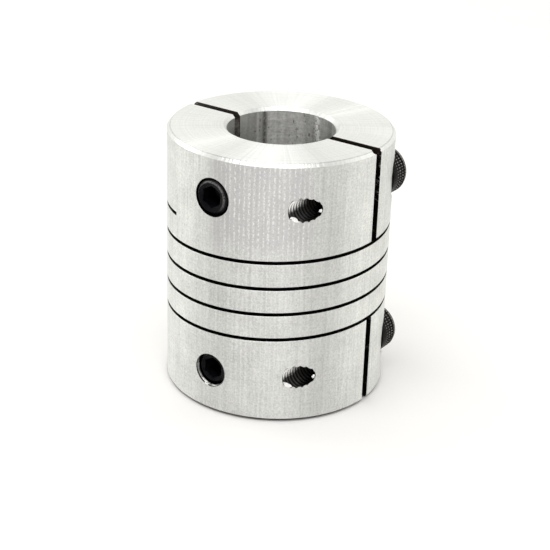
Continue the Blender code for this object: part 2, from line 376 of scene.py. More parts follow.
def turned_side():
    """The turned outside of the bar: fine lines round it, drag marks along it and a grain. Round -61 degrees
    it is painted darker and given bright sparkle specks, as painted shade and painted highlights. In a band
    round -86 degrees it is painted darker as painted shade. Both are fullest high on the bar.
    """
    material, nodes = new_material("turned_side")
    place = millimetres(nodes)
    streaks = nodes.noise(stretched(nodes, place, 1, 1, 0.03), 3.2, 4.0, 0.65)
    lines = nodes.noise(stretched(nodes, place, 0.05, 0.05, 1), 7.0, 3.0, 0.6)
    grain = nodes.noise(place, 4.5, 3.0, 0.75)
    cloud = nodes.noise(place, 0.3, 3.0, 0.55)
    beads = nodes.noise(stretched(nodes, place, 1, 1, 0.6), 7.0, 2.0, 0.6)
    angle, level = about_axis(nodes, place)
    columns = nodes.math("SINE", nodes.total((angle, DRAG_MARKS), (streaks, 5.0)))
    specks = nodes.math("MULTIPLY", nodes.ramp(columns, 0.1, 0.8), nodes.ramp(beads, 0.46, 0.6))
    # painted light: a zone round -61 degrees, fullest high on the bar
    painted_light = near_angle(nodes, angle, PAINTED_LIGHT_DEG, PAINTED_LIGHT_REACH_DEG, PAINTED_LIGHT_REACH_DEG / 2, 0.2, 0.75)
    painted_light = nodes.math("MULTIPLY", painted_light, nodes.smooth(level, PAINTED_LIGHT_FROM, PAINTED_LIGHT_FULL, 0.45, 1.0))
    mixed = nodes.total((streaks, 0.24), (lines, 0.1), (grain, 0.46), (cloud, 0.2))
    colour = nodes.mix(nodes.ramp(mixed, 0.38, 0.62), (0.5, 0.504, 0.488, 1), (0.82, 0.826, 0.797, 1))
    # painted shade: darker colour in the zone
    painted_shade = nodes.ramp(nodes.total((painted_light, 1.0), (cloud, 0.6)), 0.75, 1.05, 0.0, 0.48)
    # painted shade: the darker band round -86 degrees, added to the zone's
    shade_band = near_angle(nodes, angle, SHADE_BAND_DEG, SHADE_BAND_REACH_DEG)
    shade_band = nodes.math("MULTIPLY", shade_band, nodes.smooth(level, PAINTED_LIGHT_FROM, PAINTED_LIGHT_FULL, 0.0, 0.5))
    painted_shade = nodes.math("ADD", painted_shade, shade_band, clamp=True)
    colour = nodes.mix(painted_shade, colour, (0.475, 0.458, 0.472, 1))
    # painted highlights: bright sparkle specks, mostly in the zone
    painted_glints = nodes.total((nodes.math("MULTIPLY", specks, painted_light), 0.8))
    colour = nodes.mix(painted_glints, colour, (0.97, 0.97, 0.96, 1))
    rough = nodes.ramp(nodes.total((cloud, 0.5), (grain, 0.5)), 0.35, 0.65, 0.4, 0.54)
    height = nodes.total((streaks, 1.8), (lines, 0.15), (grain, 0.7), (specks, 0.4))
    spread = across_turning(nodes, place)
    surface(nodes, colour, rough, height, bump=0.6, distance=0.03, anisotropic=0.9, tangent=spread)
    return material


def turned_face():
    """The faced ends: fine circles round the axis, crossed by rays, with a line of painted shade where the
    face meets the chamfer.
    """
    material, nodes = new_material("turned_face")
    place = millimetres(nodes)
    flat = stretched(nodes, place, 1, 1, 0)
    radius = nodes.length(flat)
    settings = {"noise_dimensions": "1D"}
    rings = nodes.add("ShaderNodeTexNoise", settings=settings, W=radius, Scale=5.0, Detail=3.0)
    direction = nodes.vector("NORMALIZE", flat)
    rays = nodes.noise(direction, 34.0, 2.0, 0.6)
    cloud = nodes.noise(place, 0.3, 2.0, 0.5)
    grain = nodes.noise(place, 5.0, 2.0, 0.6)
    mixed = nodes.total((rings, 0.35), (rays, 0.35), (grain, 0.3))
    colour = nodes.mix(nodes.ramp(mixed, 0.35, 0.65), (0.63, 0.635, 0.62, 1), (0.78, 0.785, 0.765, 1))
    # painted shade: a patchy darker line along the face's edge with the chamfer
    from_edge = nodes.math("ABSOLUTE", nodes.math("SUBTRACT", radius, RADIUS - EDGE_CHAMFER))
    edge_shade = nodes.smooth(from_edge, EDGE_SHADE_REACH, 0.0)
    edge_shade = nodes.math("MULTIPLY", edge_shade, nodes.ramp(grain, 0.35, 0.6, 0.1, 0.8))
    colour = nodes.mix(edge_shade, colour, (0.36, 0.36, 0.35, 1))
    rough = nodes.ramp(nodes.total((cloud, 0.7), (rings, 0.3)), 0.35, 0.65, 0.34, 0.42)
    height = nodes.total((rings, 0.3), (rays, 5.0), (grain, 0.2))
    spread = across_turning(nodes, place)
    surface(nodes, colour, rough, height, bump=0.6, distance=0.02, anisotropic=0.95, tangent=spread)
    return material


def bored_wall():
    """The reamed bore: painted shade by the splits and on the wall round 62 degrees, a painted highlight
    stripe, marks along it, pits, a dark mark and a bright scratch.
    """
    material, nodes = new_material("bored_wall")
    place = millimetres(nodes)
    angle, _ = about_axis(nodes, place)
    streaks = nodes.noise(stretched(nodes, place, 1, 1, 0.05), 1.3, 4.0, 0.6)
    lines = nodes.noise(stretched(nodes, place, 0.1, 0.1, 1), 5.0, 3.0, 0.6)
    grain = nodes.noise(place, 3.5, 3.0, 0.7)
    pits = nodes.ramp(nodes.noise(stretched(nodes, place, 1, 1, 0.6), 2.4, 2.0, 0.5), 0.64, 0.72)
    mixed = nodes.total((streaks, 0.38), (lines, 0.22), (grain, 0.4))
    colour = nodes.mix(nodes.ramp(mixed, 0.36, 0.64), (0.42, 0.42, 0.4, 1), (0.82, 0.82, 0.79, 1))
    colour = nodes.mix(nodes.math("MULTIPLY", pits, 0.75), colour, (0.08, 0.08, 0.075, 1))
    # painted shade: the bore is painted darker towards the splits and on one wall
    by_split = nodes.math("ABSOLUTE", nodes.math("COSINE", angle))
    wall_shade = near_angle(nodes, angle, BORE_SHADE_DEG, BORE_SHADE_REACH_DEG)
    bore_shade = nodes.total((nodes.smooth(by_split, 0.75, 1.0), 0.5), (wall_shade, 0.5))
    colour = nodes.mix(bore_shade, colour, (0.2, 0.2, 0.19, 1))
    # painted highlight: a bright stripe down the bore
    painted_highlight = near_angle(nodes, angle, BORE_HIGHLIGHT_DEG, BORE_HIGHLIGHT_REACH_DEG)
    colour = nodes.mix(nodes.math("MULTIPLY", painted_highlight, 0.5), colour, (0.95, 0.95, 0.93, 1))
    # a patchy dark mark down the bore round 143 degrees
    dark_mark = near_angle(nodes, angle, BORE_MARK_DEG, BORE_MARK_REACH_DEG)
    dark_mark = nodes.math("MULTIPLY", dark_mark, nodes.ramp(grain, 0.3, 0.55))
    colour = nodes.mix(nodes.math("MULTIPLY", dark_mark, 0.8), colour, (0.07, 0.065, 0.055, 1))
    scratch = near_angle(nodes, angle, BORE_SCRATCH_DEG, BORE_SCRATCH_REACH_DEG)
    scratch = nodes.math("MULTIPLY", scratch, nodes.ramp(grain, 0.42, 0.5))
    colour = nodes.mix(scratch, colour, BRIGHT)
    rough = nodes.ramp(lines, 0.3, 0.7, 0.4, 0.52)
    height = nodes.total((streaks, 1.0), (lines, 0.3), (grain, 0.4), (scratch, 6.0))
    spread = across_turning(nodes, place)
    surface(nodes, colour, rough, height, bump=0.6, distance=0.03, anisotropic=0.8, tangent=spread)
    return material


def sawn_wall(name, dark, light, torn_share=0.6):
    """Sawn walls in given dark and light colours: painted shade on most walls and painted light on the blind
    split. They turn near-black near the upper end as painted shade, with flecks torn along the outer rim.
    """
    material, nodes = new_material(name)
    place = millimetres(nodes)
    marks = nodes.noise(stretched(nodes, place, 0.4, 0.4, 1), 7.0, 3.0, 0.6)
    radius = off_axis(nodes, place)
    torn = nodes.ramp(nodes.noise(stretched(nodes, place, 0.6, 0.6, 1), 2.2, 3.0, 0.7), 0.58, 0.64)
    flecks = nodes.math("MULTIPLY", torn, nodes.ramp(radius, RADIUS - 1.0, RADIUS - 0.1))
    colour = nodes.mix(nodes.ramp(marks, 0.35, 0.65), dark, light)
    level = nodes.dot(place, (0, 0, 1))
    # painted shade: near-black towards the upper end
    colour = nodes.mix(nodes.smooth(level, TOP_END_SHADE_FROM, TOP_END_SHADE_FULL, 0.0, 0.9), colour, TOP_END_PAINTED_SHADE)
    flecks = nodes.math("MULTIPLY", flecks, nodes.smooth(level, FLECKS_FROM, FLECKS_FULL, 0.25, 1.0))
    colour = nodes.mix(nodes.math("MULTIPLY", flecks, torn_share), colour, (0.75, 0.73, 0.7, 1))
    rough = nodes.ramp(marks, 0.3, 0.7, 0.5, 0.7)
    surface(nodes, colour, rough, marks, bump=0.5, distance=0.02)
    return material


def drilled_wall(name, bright_from):
    """Walls of the holes: painted shade inside, and bright from a distance off the bar's axis outwards."""
    material, nodes = new_material(name)
    place = millimetres(nodes)
    radius = off_axis(nodes, place)
    marks = nodes.noise(place, 4.0, 3.0, 0.6)
    depth = nodes.ramp(nodes.total((radius, 1.0), (marks, 0.5)), bright_from, bright_from + 0.45)
    # painted shade deeper in, the metal's own colour near the mouth
    colour = nodes.mix(depth, HOLE_PAINTED_SHADE, (0.66, 0.66, 0.64, 1))
    rough = nodes.ramp(marks, 0.3, 0.7, 0.22, 0.4)
    surface(nodes, colour, rough, marks, bump=0.35, distance=0.02)
    return material


def tapped_wall(hub):
    """The clamp screw's thread: a painted highlight on the upper crests near the mouth, and painted shade in
    the grooves, on the low side and deeper in.
    """
    material, nodes = new_material(f"tapped_wall_{hub}")
    place = millimetres(nodes)
    x, z, _, _ = screw_place(f"{hub}_clamp_screw")
    from_axis = nodes.vector("SUBTRACT", place, (x, 0, z))
    across = stretched(nodes, from_axis, 1, 0, 1)
    reach = nodes.length(across)
    rise = nodes.dot(across, (-0.62, 0, 0.78))
    radius = off_axis(nodes, place)
    marks = nodes.noise(place, 5.0, 3.0, 0.6)
    # painted highlight on the upper crests near the mouth, painted shade elsewhere
    crest = nodes.ramp(reach, CLAMP_TAP_MAJOR - 0.01, CLAMP_TAP_MAJOR - 0.09)
    upper = nodes.ramp(nodes.total((rise, 1.0), (marks, 0.7)), 0.75, 1.2, 0.05, 1.0)
    near = nodes.ramp(radius, RADIUS - 2.6, RADIUS - 1.2)
    painted_lit_crests = nodes.math("MULTIPLY", nodes.math("MULTIPLY", crest, upper), near)
    colour = nodes.mix(painted_lit_crests, HOLE_PAINTED_SHADE, (0.85, 0.85, 0.83, 1))
    rough = nodes.ramp(marks, 0.3, 0.7, 0.25, 0.45)
    surface(nodes, colour, rough, marks, bump=0.35, distance=0.02)
    return material


def fresh_chip():
    """Metal torn up at the mouth of a hole."""
    material, nodes = new_material("fresh_chip")
    place = millimetres(nodes)
    marks = nodes.noise(place, 6.0, 3.0, 0.6)
    colour = nodes.mix(nodes.ramp(marks, 0.35, 0.6), (0.8, 0.8, 0.78, 1), BRIGHT)
    rough = nodes.ramp(marks, 0.3, 0.7, 0.35, 0.5)
    surface(nodes, colour, rough, marks, bump=0.6, distance=0.03)
    return material


def black_oxide(hub, kind, dark, light):
    """Black oxide, with bare metal on a clamp head's knurl crests, dotted along each ridge as painted
    highlights, and a painted highlight on one side of a set screw's rim.
    """
    node = f"{hub}_{kind}_screw"
    material, nodes = new_material(f"black_oxide_{node}")
    place = millimetres(nodes)
    x, z, _, top = screw_place(node)
    from_top = nodes.vector("SUBTRACT", place, (x, top, z))
    across = stretched(nodes, from_top, 1, 0, 1)
    reach = nodes.length(across)
    cloud = nodes.noise(place, 1.6, 3.0, 0.6)
    grain = nodes.noise(place, 7.0, 3.0, 0.7)
    if kind == "clamp":
        level = nodes.dot(from_top, (0, 1, 0))
        knurl_foot = KNURL_LOW - HEAD_HEIGHT
        above = nodes.ramp(level, knurl_foot - 0.05, knurl_foot + 0.05)
        crest = nodes.ramp(reach, HEAD_RADIUS - 0.07, HEAD_RADIUS - 0.015)
        # painted highlight: the crests are bare in dots along each ridge
        along_ridge = nodes.math("SINE", nodes.math("MULTIPLY", level, 2 * math.pi / KNURL_PITCH))
        patchy = nodes.ramp(grain, 0.42, 0.5, 0.15, 1.0)
        patchy = nodes.math("MULTIPLY", patchy, nodes.ramp(along_ridge, 0.1, 0.6))
        worn_and_painted_highlight = nodes.math("MULTIPLY", nodes.math("MULTIPLY", above, crest), patchy)
    else:
        inner = nodes.smooth(reach, RIM_RADIUS - 0.16, RIM_RADIUS)
        outer = nodes.smooth(reach, RIM_RADIUS + 0.16, RIM_RADIUS)
        # painted highlight: the rim is lit only on its side towards +X and up
        facing = nodes.dot(across, (0.64, 0, 0.77))
        rim = nodes.math("MULTIPLY", inner, outer)
        rim = nodes.math("MULTIPLY", rim, nodes.smooth(facing, -0.7, 1.0))
        worn_and_painted_highlight = nodes.math("MULTIPLY", rim, nodes.ramp(grain, 0.35, 0.6, 0.03, 0.42))
    colour = nodes.mix(nodes.ramp(cloud, 0.35, 0.7), dark, light)
    colour = nodes.mix(worn_and_painted_highlight, colour, WORN_AND_HIGHLIGHT_STEEL[kind])
    rough = nodes.ramp(grain, 0.3, 0.7, 0.24, 0.4)
    specular = STEEL_SPECULAR[kind]
    surface(nodes, colour, rough, grain, bump=0.6, distance=0.02, metallic=0.0, specular=specular)
    return material


def floor_material():
    """A pale sheet with a faint mottle."""
    material, nodes = new_material("floor")
    place = millimetres(nodes)
    grain = nodes.noise(place, 0.05, 2.0, 0.5)
    colour = nodes.mix(grain, (0.69, 0.685, 0.672, 1), (0.71, 0.705, 0.692, 1))
    height = nodes.noise(place, 2.0, 2.0, 0.5)
    surface(nodes, colour, 0.6, height, bump=0.05, distance=0.02, metallic=0.0)
    return material


SIDE = turned_side()
FACE = turned_face()
BORED = bored_wall()
# painted shade: the splits' walls, and the breaks along their edges, are painted near-black
SAWN_PAINTED_SHADE = sawn_wall("sawn_wall", (0.003, 0.002, 0.002, 1), (0.014, 0.011, 0.01, 1), 0.45)
# painted light: the blind split's walls are painted much lighter than the other sawn walls, though they lie
# in shade
BLIND_PAINTED_LIGHT = sawn_wall("blind_wall_painted_light", (0.34, 0.32, 0.28, 1), (0.62, 0.6, 0.54, 1))
# painted shade: the lower hub's outer chamfer, by the floor, is painted dark
RIM_PAINTED_SHADE = sawn_wall("rim_wall_painted_shade", (0.1, 0.095, 0.085, 1), (0.2, 0.19, 0.175, 1), 0.0)
# painted shade: the helical cut's walls are painted near-black
CUT_PAINTED_SHADE = sawn_wall("cut_wall_painted_shade", (0.004, 0.003, 0.003, 1), (0.018, 0.015, 0.014, 1), 0.0)
CHIP = fresh_chip()
DRILLED = drilled_wall("drilled_wall", RADIUS - 0.22)
# painted shade: the upper set screw's hole is painted near-black all through
SET_HOLE_PAINTED_SHADE = drilled_wall("set_hole_painted_shade_wall", RADIUS + 1.0)
CLAMP_STEEL = {
    hub: black_oxide(hub, "clamp", (0.002, 0.002, 0.0015, 1), (0.01, 0.009, 0.0085, 1)) for hub in HUBS
}
SET_STEEL = {
    hub: black_oxide(hub, "set", (0.001, 0.001, 0.0015, 1), (0.006, 0.006, 0.0075, 1)) for hub in HUBS
}
TAPPED = {hub: tapped_wall(hub) for hub in HUBS}


# ---------------------------------------------------------------- mesh tools


def cut_height(angle_deg):
    """Height of the middle of the helical cut at an angle counted along the cut."""
    return LENGTH / 2 + CUT_PITCH * (angle_deg - CUT_MIDDLE_DEG) / 360


def on_circle(radius, angle_deg, height):
    angle = math.radians(angle_deg)
    return Vector((radius * math.cos(angle), radius * math.sin(angle), height))


def new_object(name, data):
    obj = bpy.data.objects.new(name, data)
    bpy.context.scene.collection.objects.link(obj)
    return obj


def object_from_shape(name, shape, material=None):
    bmesh.ops.recalc_face_normals(shape, faces=shape.faces)
    mesh = bpy.data.meshes.new(name)
    shape.to_mesh(mesh)
    shape.free()
    if material:
        mesh.materials.append(material)
    return new_object(name, mesh)


def combined(obj, operation, *tools):
    """Applies a Boolean with each tool in turn, and removes the tools. Cut faces keep the tool's material."""
    for tool in tools:
        modifier = obj.modifiers.new(tool.name, "BOOLEAN")
        modifier.operation = operation
        modifier.solver = "EXACT"
        modifier.material_mode = "TRANSFER"
        modifier.object = tool
    bpy.context.view_layer.update()
    graph = bpy.context.evaluated_depsgraph_get()
    mesh = bpy.data.meshes.new_from_object(obj.evaluated_get(graph))
    obj.modifiers.clear()
    obj.data = mesh
    for tool in tools:
        bpy.data.objects.remove(tool)
    return obj


def box(name, low, high, material):
    """A block between two corners."""
    low, high = Vector(low), Vector(high)
    shape = bmesh.new()
    bmesh.ops.create_cube(shape, size=1.0)
    bmesh.ops.scale(shape, vec=high - low, verts=shape.verts)
    bmesh.ops.translate(shape, vec=(low + high) / 2, verts=shape.verts)
    return object_from_shape(name, shape, material)


def turned(name, profile, steps, material):
    """A closed solid turned about Z from (radius, height) pairs, which start and end on the axis."""
    shape = bmesh.new()
    rings = []
    for radius, height in profile:
        if radius == 0:
            rings.append([shape.verts.new((0, 0, height))] * steps)
        else:
            rings.append([shape.verts.new(on_circle(radius, 360 * i / steps, height)) for i in range(steps)])
    for ring, following in zip(rings, rings[1:]):
        for i in range(steps):
            corners = [ring[i], ring[(i + 1) % steps], following[(i + 1) % steps], following[i]]
            shape.faces.new(list(dict.fromkeys(corners)))
    return object_from_shape(name, shape, material)


def threaded_rod(name, minor, major, pitch, length, material):
    """A rod along Z from zero to length with a helical thread, and flat ends."""
    profile = list(zip(THREAD_SHARES, (minor, minor, major, major)))
    count = len(profile)
    rows = count * (math.ceil(length / pitch) + 3)
    shape = bmesh.new()
    grid = []
    for i in range(THREAD_STEPS):
        column = []
        for k in range(rows + 1):
            share, radius = profile[k % count]
            height = pitch * (k // count + share + i / THREAD_STEPS - 2)
            column.append(shape.verts.new(on_circle(radius, 360 * i / THREAD_STEPS, height)))
        grid.append(column)
    for i in range(THREAD_STEPS):
        after = (i + 1) % THREAD_STEPS
        shift = 0 if after else count
        for k in range(rows - count):
            beside = k + shift
            shape.faces.new([grid[i][k], grid[after][beside], grid[after][beside + 1], grid[i][k + 1]])
    for height, side in ((0.0, -1), (length, 1)):
        bmesh.ops.bisect_plane(
            shape,
            geom=[*shape.verts, *shape.edges, *shape.faces],
            plane_co=(0, 0, height),
            plane_no=(0, 0, side),
            clear_outer=True,
        )
        open_edges = [edge for edge in shape.edges if edge.is_boundary]
        rim = [edge for edge in open_edges if all(abs(corner.co.z - height) < 1e-4 for corner in edge.verts)]
        bmesh.ops.holes_fill(shape, edges=rim, sides=0)
    loose = [vertex for vertex in shape.verts if not vertex.link_faces]
    bmesh.ops.delete(shape, geom=loose, context="VERTS")
    return object_from_shape(name, shape, material)


def placed(obj, matrix):
    obj.data.transform(matrix)
    return obj


def pointing(direction_y, x, y, z):
    """The matrix that lays a shape's Z axis along +Y or -Y, with its origin at a point."""
    return Matrix.Translation((x, y, z)) @ Matrix.Rotation(-direction_y * math.pi / 2, 4, "X")


def edge_breaker(start, end, material):
    """A thin square rod along an edge that lies along X or Z, turned so as to leave a 45 degree chamfer."""
    start, end = Vector(start), Vector(end)
    along = (end - start).normalized()
    shape = bmesh.new()
    bmesh.ops.create_cone(
        shape,
        cap_ends=True,
        segments=4,
        radius1=EDGE_BREAK,
        radius2=EDGE_BREAK,
        depth=(end - start).length,
    )
    turn = Matrix.Rotation(math.pi / 2, 4, "Y") if abs(along.x) > 0.5 else Matrix.Identity(4)
    bmesh.ops.transform(shape, matrix=Matrix.Translation((start + end) / 2) @ turn, verts=shape.verts)
    return object_from_shape("edge_breaker", shape, material)


# ---------------------------------------------------------------- body


def hub_blank(hub):
    """The end of the bar past the helical cut, with the step where the beam leaves it."""
    end = HUBS[hub]
    outwards = OUTWARDS[hub]
    first_deg = (BEAM_END_DEG if hub == "upper" else BEAM_START_DEG) - 360
    shape = bmesh.new()
    rows = []
    for i in range(ROUND_STEPS + 1):
        angle = first_deg + 360 * i / ROUND_STEPS
        flight = cut_height(angle) + outwards * CUT_WIDTH / 2
        section = [
            (BORE + EDGE_BREAK, flight),
            (RADIUS - EDGE_BREAK, flight),
            (RADIUS, flight + outwards * EDGE_BREAK),
            (RADIUS, end - outwards * EDGE_CHAMFER),
            (RADIUS - EDGE_CHAMFER, end),
            (BORE + BORE_CHAMFER, end),
            (BORE, end - outwards * BORE_CHAMFER),
            (BORE, flight + outwards * EDGE_BREAK),
        ]
        shared = (3, 4, 5, 6) if i == ROUND_STEPS else ()
        rows.append(
            [
                rows[0][k] if k in shared else shape.verts.new(on_circle(radius, angle, height))
                for k, (radius, height) in enumerate(section)
            ]
        )
    first, last = rows[0], rows[-1]
    # the lower hub's outer chamfer takes painted shade by the floor
    rim = FACE if hub == "upper" else RIM_PAINTED_SHADE
    materials = [CUT_PAINTED_SHADE, SIDE, SIDE, rim, FACE, FACE, BORED, BORED]
    slots = [SIDE, FACE, BORED, CUT_PAINTED_SHADE, RIM_PAINTED_SHADE]
    size = len(materials)
    for i in range(ROUND_STEPS):
        for k in range(size):
            corners = [rows[i][k], rows[i][(k + 1) % size], rows[i + 1][(k + 1) % size], rows[i + 1][k]]
            # the wall beside the step also holds the corner of the step's far end
            if hub == "upper" and i == 0 and k == 2:
                corners.insert(1, last[2])
            if hub == "upper" and i == 0 and k == 6:
                corners.insert(1, last[7])
            if hub == "lower" and i == ROUND_STEPS - 1 and k == 2:
                corners.insert(3, first[2])
            if hub == "lower" and i == ROUND_STEPS - 1 and k == 6:
                corners.insert(3, first[7])
            face = shape.faces.new(list(dict.fromkeys(corners)))
            face.material_index = slots.index(materials[k])
    step = shape.faces.new([first[7], first[0], first[1], first[2], last[2], last[1], last[0], last[7]])
    step.material_index = slots.index(CUT_PAINTED_SHADE)
    obj = object_from_shape(f"{hub}_blank", shape)
    for material in slots:
        obj.data.materials.append(material)
    return obj


def beam_piece(name, first_deg, last_deg):
    """A stretch of the helical ribbon, closed at both ends."""
    steps = round((last_deg - first_deg) / 2)
    shape = bmesh.new()
    rows = []
    for i in range(steps + 1):
        angle = first_deg + (last_deg - first_deg) * i / steps
        low = cut_height(angle - 360) + CUT_WIDTH / 2
        high = cut_height(angle) - CUT_WIDTH / 2
        section = [
            (BORE + EDGE_BREAK, low),
            (RADIUS - EDGE_BREAK, low),
            (RADIUS, low + EDGE_BREAK),
            (RADIUS, high - EDGE_BREAK),
            (RADIUS - EDGE_BREAK, high),
            (BORE + EDGE_BREAK, high),
            (BORE, high - EDGE_BREAK),
            (BORE, low + EDGE_BREAK),
        ]
        rows.append([shape.verts.new(on_circle(radius, angle, height)) for radius, height in section])
    slots = [SIDE, BORED, CUT_PAINTED_SHADE]
    materials = [CUT_PAINTED_SHADE, SIDE, SIDE, SIDE, CUT_PAINTED_SHADE, BORED, BORED, BORED]
    size = len(materials)
    for i in range(steps):
        for k in range(size):
            corners = [rows[i][k], rows[i][(k + 1) % size], rows[i + 1][(k + 1) % size], rows[i + 1][k]]
            shape.faces.new(corners).material_index = slots.index(materials[k])
    for row in (rows[0], rows[-1]):
        shape.faces.new(row).material_index = slots.index(CUT_PAINTED_SHADE)
    obj = object_from_shape(name, shape)
    for material in slots:
        obj.data.materials.append(material)
    return obj


def split_tools(hub, side, is_jaw):
    """What cuts one half of a hub free: the other half, the split, and the breaks along the split's edges."""
    end = HUBS[hub]
    outwards = OUTWARDS[hub]
    beyond = end + outwards
    floor = end - outwards * BLIND_DEPTH
    wall = side * SPLIT_HALF
    far = -side * OUTSIDE
    tools = []

    def slab(name, x_range, y_range, z_range, material=SAWN_PAINTED_SHADE):
        spans = [sorted(x_range), sorted(y_range), sorted(z_range)]
        tools.append(box(name, [span[0] for span in spans], [span[1] for span in spans], material))

    if is_jaw:
        slab("other_half", (-OUTSIDE, OUTSIDE), (far, -wall), (-1, LENGTH + 1))
        slab("open_split", (0, OUTSIDE), (-2 * wall, wall), (-1, LENGTH + 1))
        slab("blind_split", (-OUTSIDE, 0), (-2 * wall, wall), (floor, beyond), BLIND_PAINTED_LIGHT)
    else:
        slab("other_half", (-OUTSIDE, OUTSIDE), (far, wall), (-1, LENGTH + 1))
    # The breaks along the split's edges and its corner take the sawn walls' painted shade
    for radius in (BORE, RADIUS):
        x = math.sqrt(radius**2 - SPLIT_HALF**2)
        tools.append(edge_breaker((x, wall, LENGTH / 2), (x, wall, beyond), SAWN_PAINTED_SHADE))
        tools.append(edge_breaker((-x, wall, floor), (-x, wall, beyond), SAWN_PAINTED_SHADE))
    corner = bmesh.new()
    reach = CORNER_BREAKS[is_jaw]
    bmesh.ops.create_icosphere(corner, subdivisions=2, radius=reach)
    centre = Vector((math.sqrt(RADIUS**2 - SPLIT_HALF**2) - EDGE_CHAMFER / 2, wall, end))
    bmesh.ops.translate(corner, vec=centre, verts=corner.verts)
    tools.append(object_from_shape("corner_break", corner, SAWN_PAINTED_SHADE))
    for sign in (-1, 1):
        tools.append(edge_breaker((sign * (BORE - 1), wall, end), (sign * (RADIUS + 1), wall, end), SAWN_PAINTED_SHADE))
    return tools


def hole_tools(hub, side):
    """The holes of one half: head pocket and clearance hole at +Y, tapped holes at -Y."""
    x, z, _, head_top = screw_place(f"{hub}_clamp_screw")
    seat = head_top - HEAD_HEIGHT
    if side > 0:
        pocket_floor = seat - SEAT_GAP
        profile = [
            (0.0, -seat),
            (CLEARANCE_HOLE, -seat),
            (CLEARANCE_HOLE, -EDGE_BREAK),
            (CLEARANCE_HOLE + EDGE_BREAK, 0.0),
            (POCKET_RADIUS, 0.0),
            (POCKET_RADIUS, OUTSIDE),
            (0.0, OUTSIDE),
        ]
        return [placed(turned("pocket", profile, FINE_STEPS, DRILLED), pointing(1, x, pocket_floor, z))]
    set_x, set_z, _, _ = screw_place(f"{hub}_set_screw")
    tapped = threaded_rod("clamp_tap", CLAMP_TAP_MINOR, CLAMP_TAP_MAJOR, CLAMP_PITCH, OUTSIDE, TAPPED[hub])
    minor = SET_FITS[hub][2]
    major = minor + SET_THREAD_DEPTH / 2
    # the upper set screw's hole is painted shade all through
    wall = DRILLED if hub == "lower" else SET_HOLE_PAINTED_SHADE
    set_tap = threaded_rod("set_tap", minor, major, SET_PITCH, OUTSIDE - BORE / 2, wall)
    profile = [(0.0, 0.0), (CLAMP_RELIEF, 0.0), (CLAMP_RELIEF, OUTSIDE), (0.0, OUTSIDE)]
    relief = turned("relief", profile, FINE_STEPS, TAPPED[hub])
    return [
        placed(tapped, pointing(-1, x, 0, z)),
        placed(relief, pointing(-1, x + CLAMP_RELIEF_SHIFT, 0, z)),
        placed(set_tap, pointing(-1, set_x, -BORE / 2, set_z)),
    ]


def half_hub(name, hub, side, is_jaw):
    """One half of a hub, on the +Y or the -Y side, with its holes. The chips stand round the holes at -Y."""
    blank = hub_blank(hub)
    blank.name = name
    tools = split_tools(hub, side, is_jaw) + hole_tools(hub, side)
    combined(blank, "DIFFERENCE", *tools)
    if side < 0:
        combined(blank, "UNION", *(chip(hub, *details) for details in CHIPS[hub]))
    return blank


def chip(hub, hole, around_deg, length, width, thickness, seed):
    """A torn flake of metal that stands on the rim of a hole at -Y."""
    x, z, _, _ = screw_place(f"{hub}_{hole}_screw")
    radius = CLAMP_TAP_MINOR if hole == "clamp" else SET_FITS[hub][2]
    around = math.radians(around_deg)
    rim_x, rim_z = x + radius * math.cos(around), z + radius * math.sin(around)
    out_angle = math.atan2(-math.sqrt(RADIUS**2 - rim_x**2), rim_x)
    outwards = Vector((math.cos(out_angle), math.sin(out_angle), 0))
    level = Vector((-outwards.y, outwards.x, 0))
    sideways = -math.sin(around) * level / max(0.4, abs(outwards.y))
    along = (sideways + math.cos(around) * Vector((0, 0, 1))).normalized()
    across = outwards.cross(along)
    draw = np.random.default_rng(seed)
    shape = bmesh.new()
    bmesh.ops.create_icosphere(shape, subdivisions=2, radius=0.5)
    for vertex in shape.verts:
        vertex.co *= 1 + draw.uniform(-CHIP_RAGGED, CHIP_RAGGED)
        u, v, w = vertex.co
        vertex.co = u * length * along + v * width * across + w * thickness * outwards
    centre = RADIUS * outwards + Vector((0, 0, rim_z)) - CHIP_SUNK * thickness * outwards
    bmesh.ops.translate(shape, vec=centre, verts=shape.verts)
    return object_from_shape("chip", shape, CHIP)


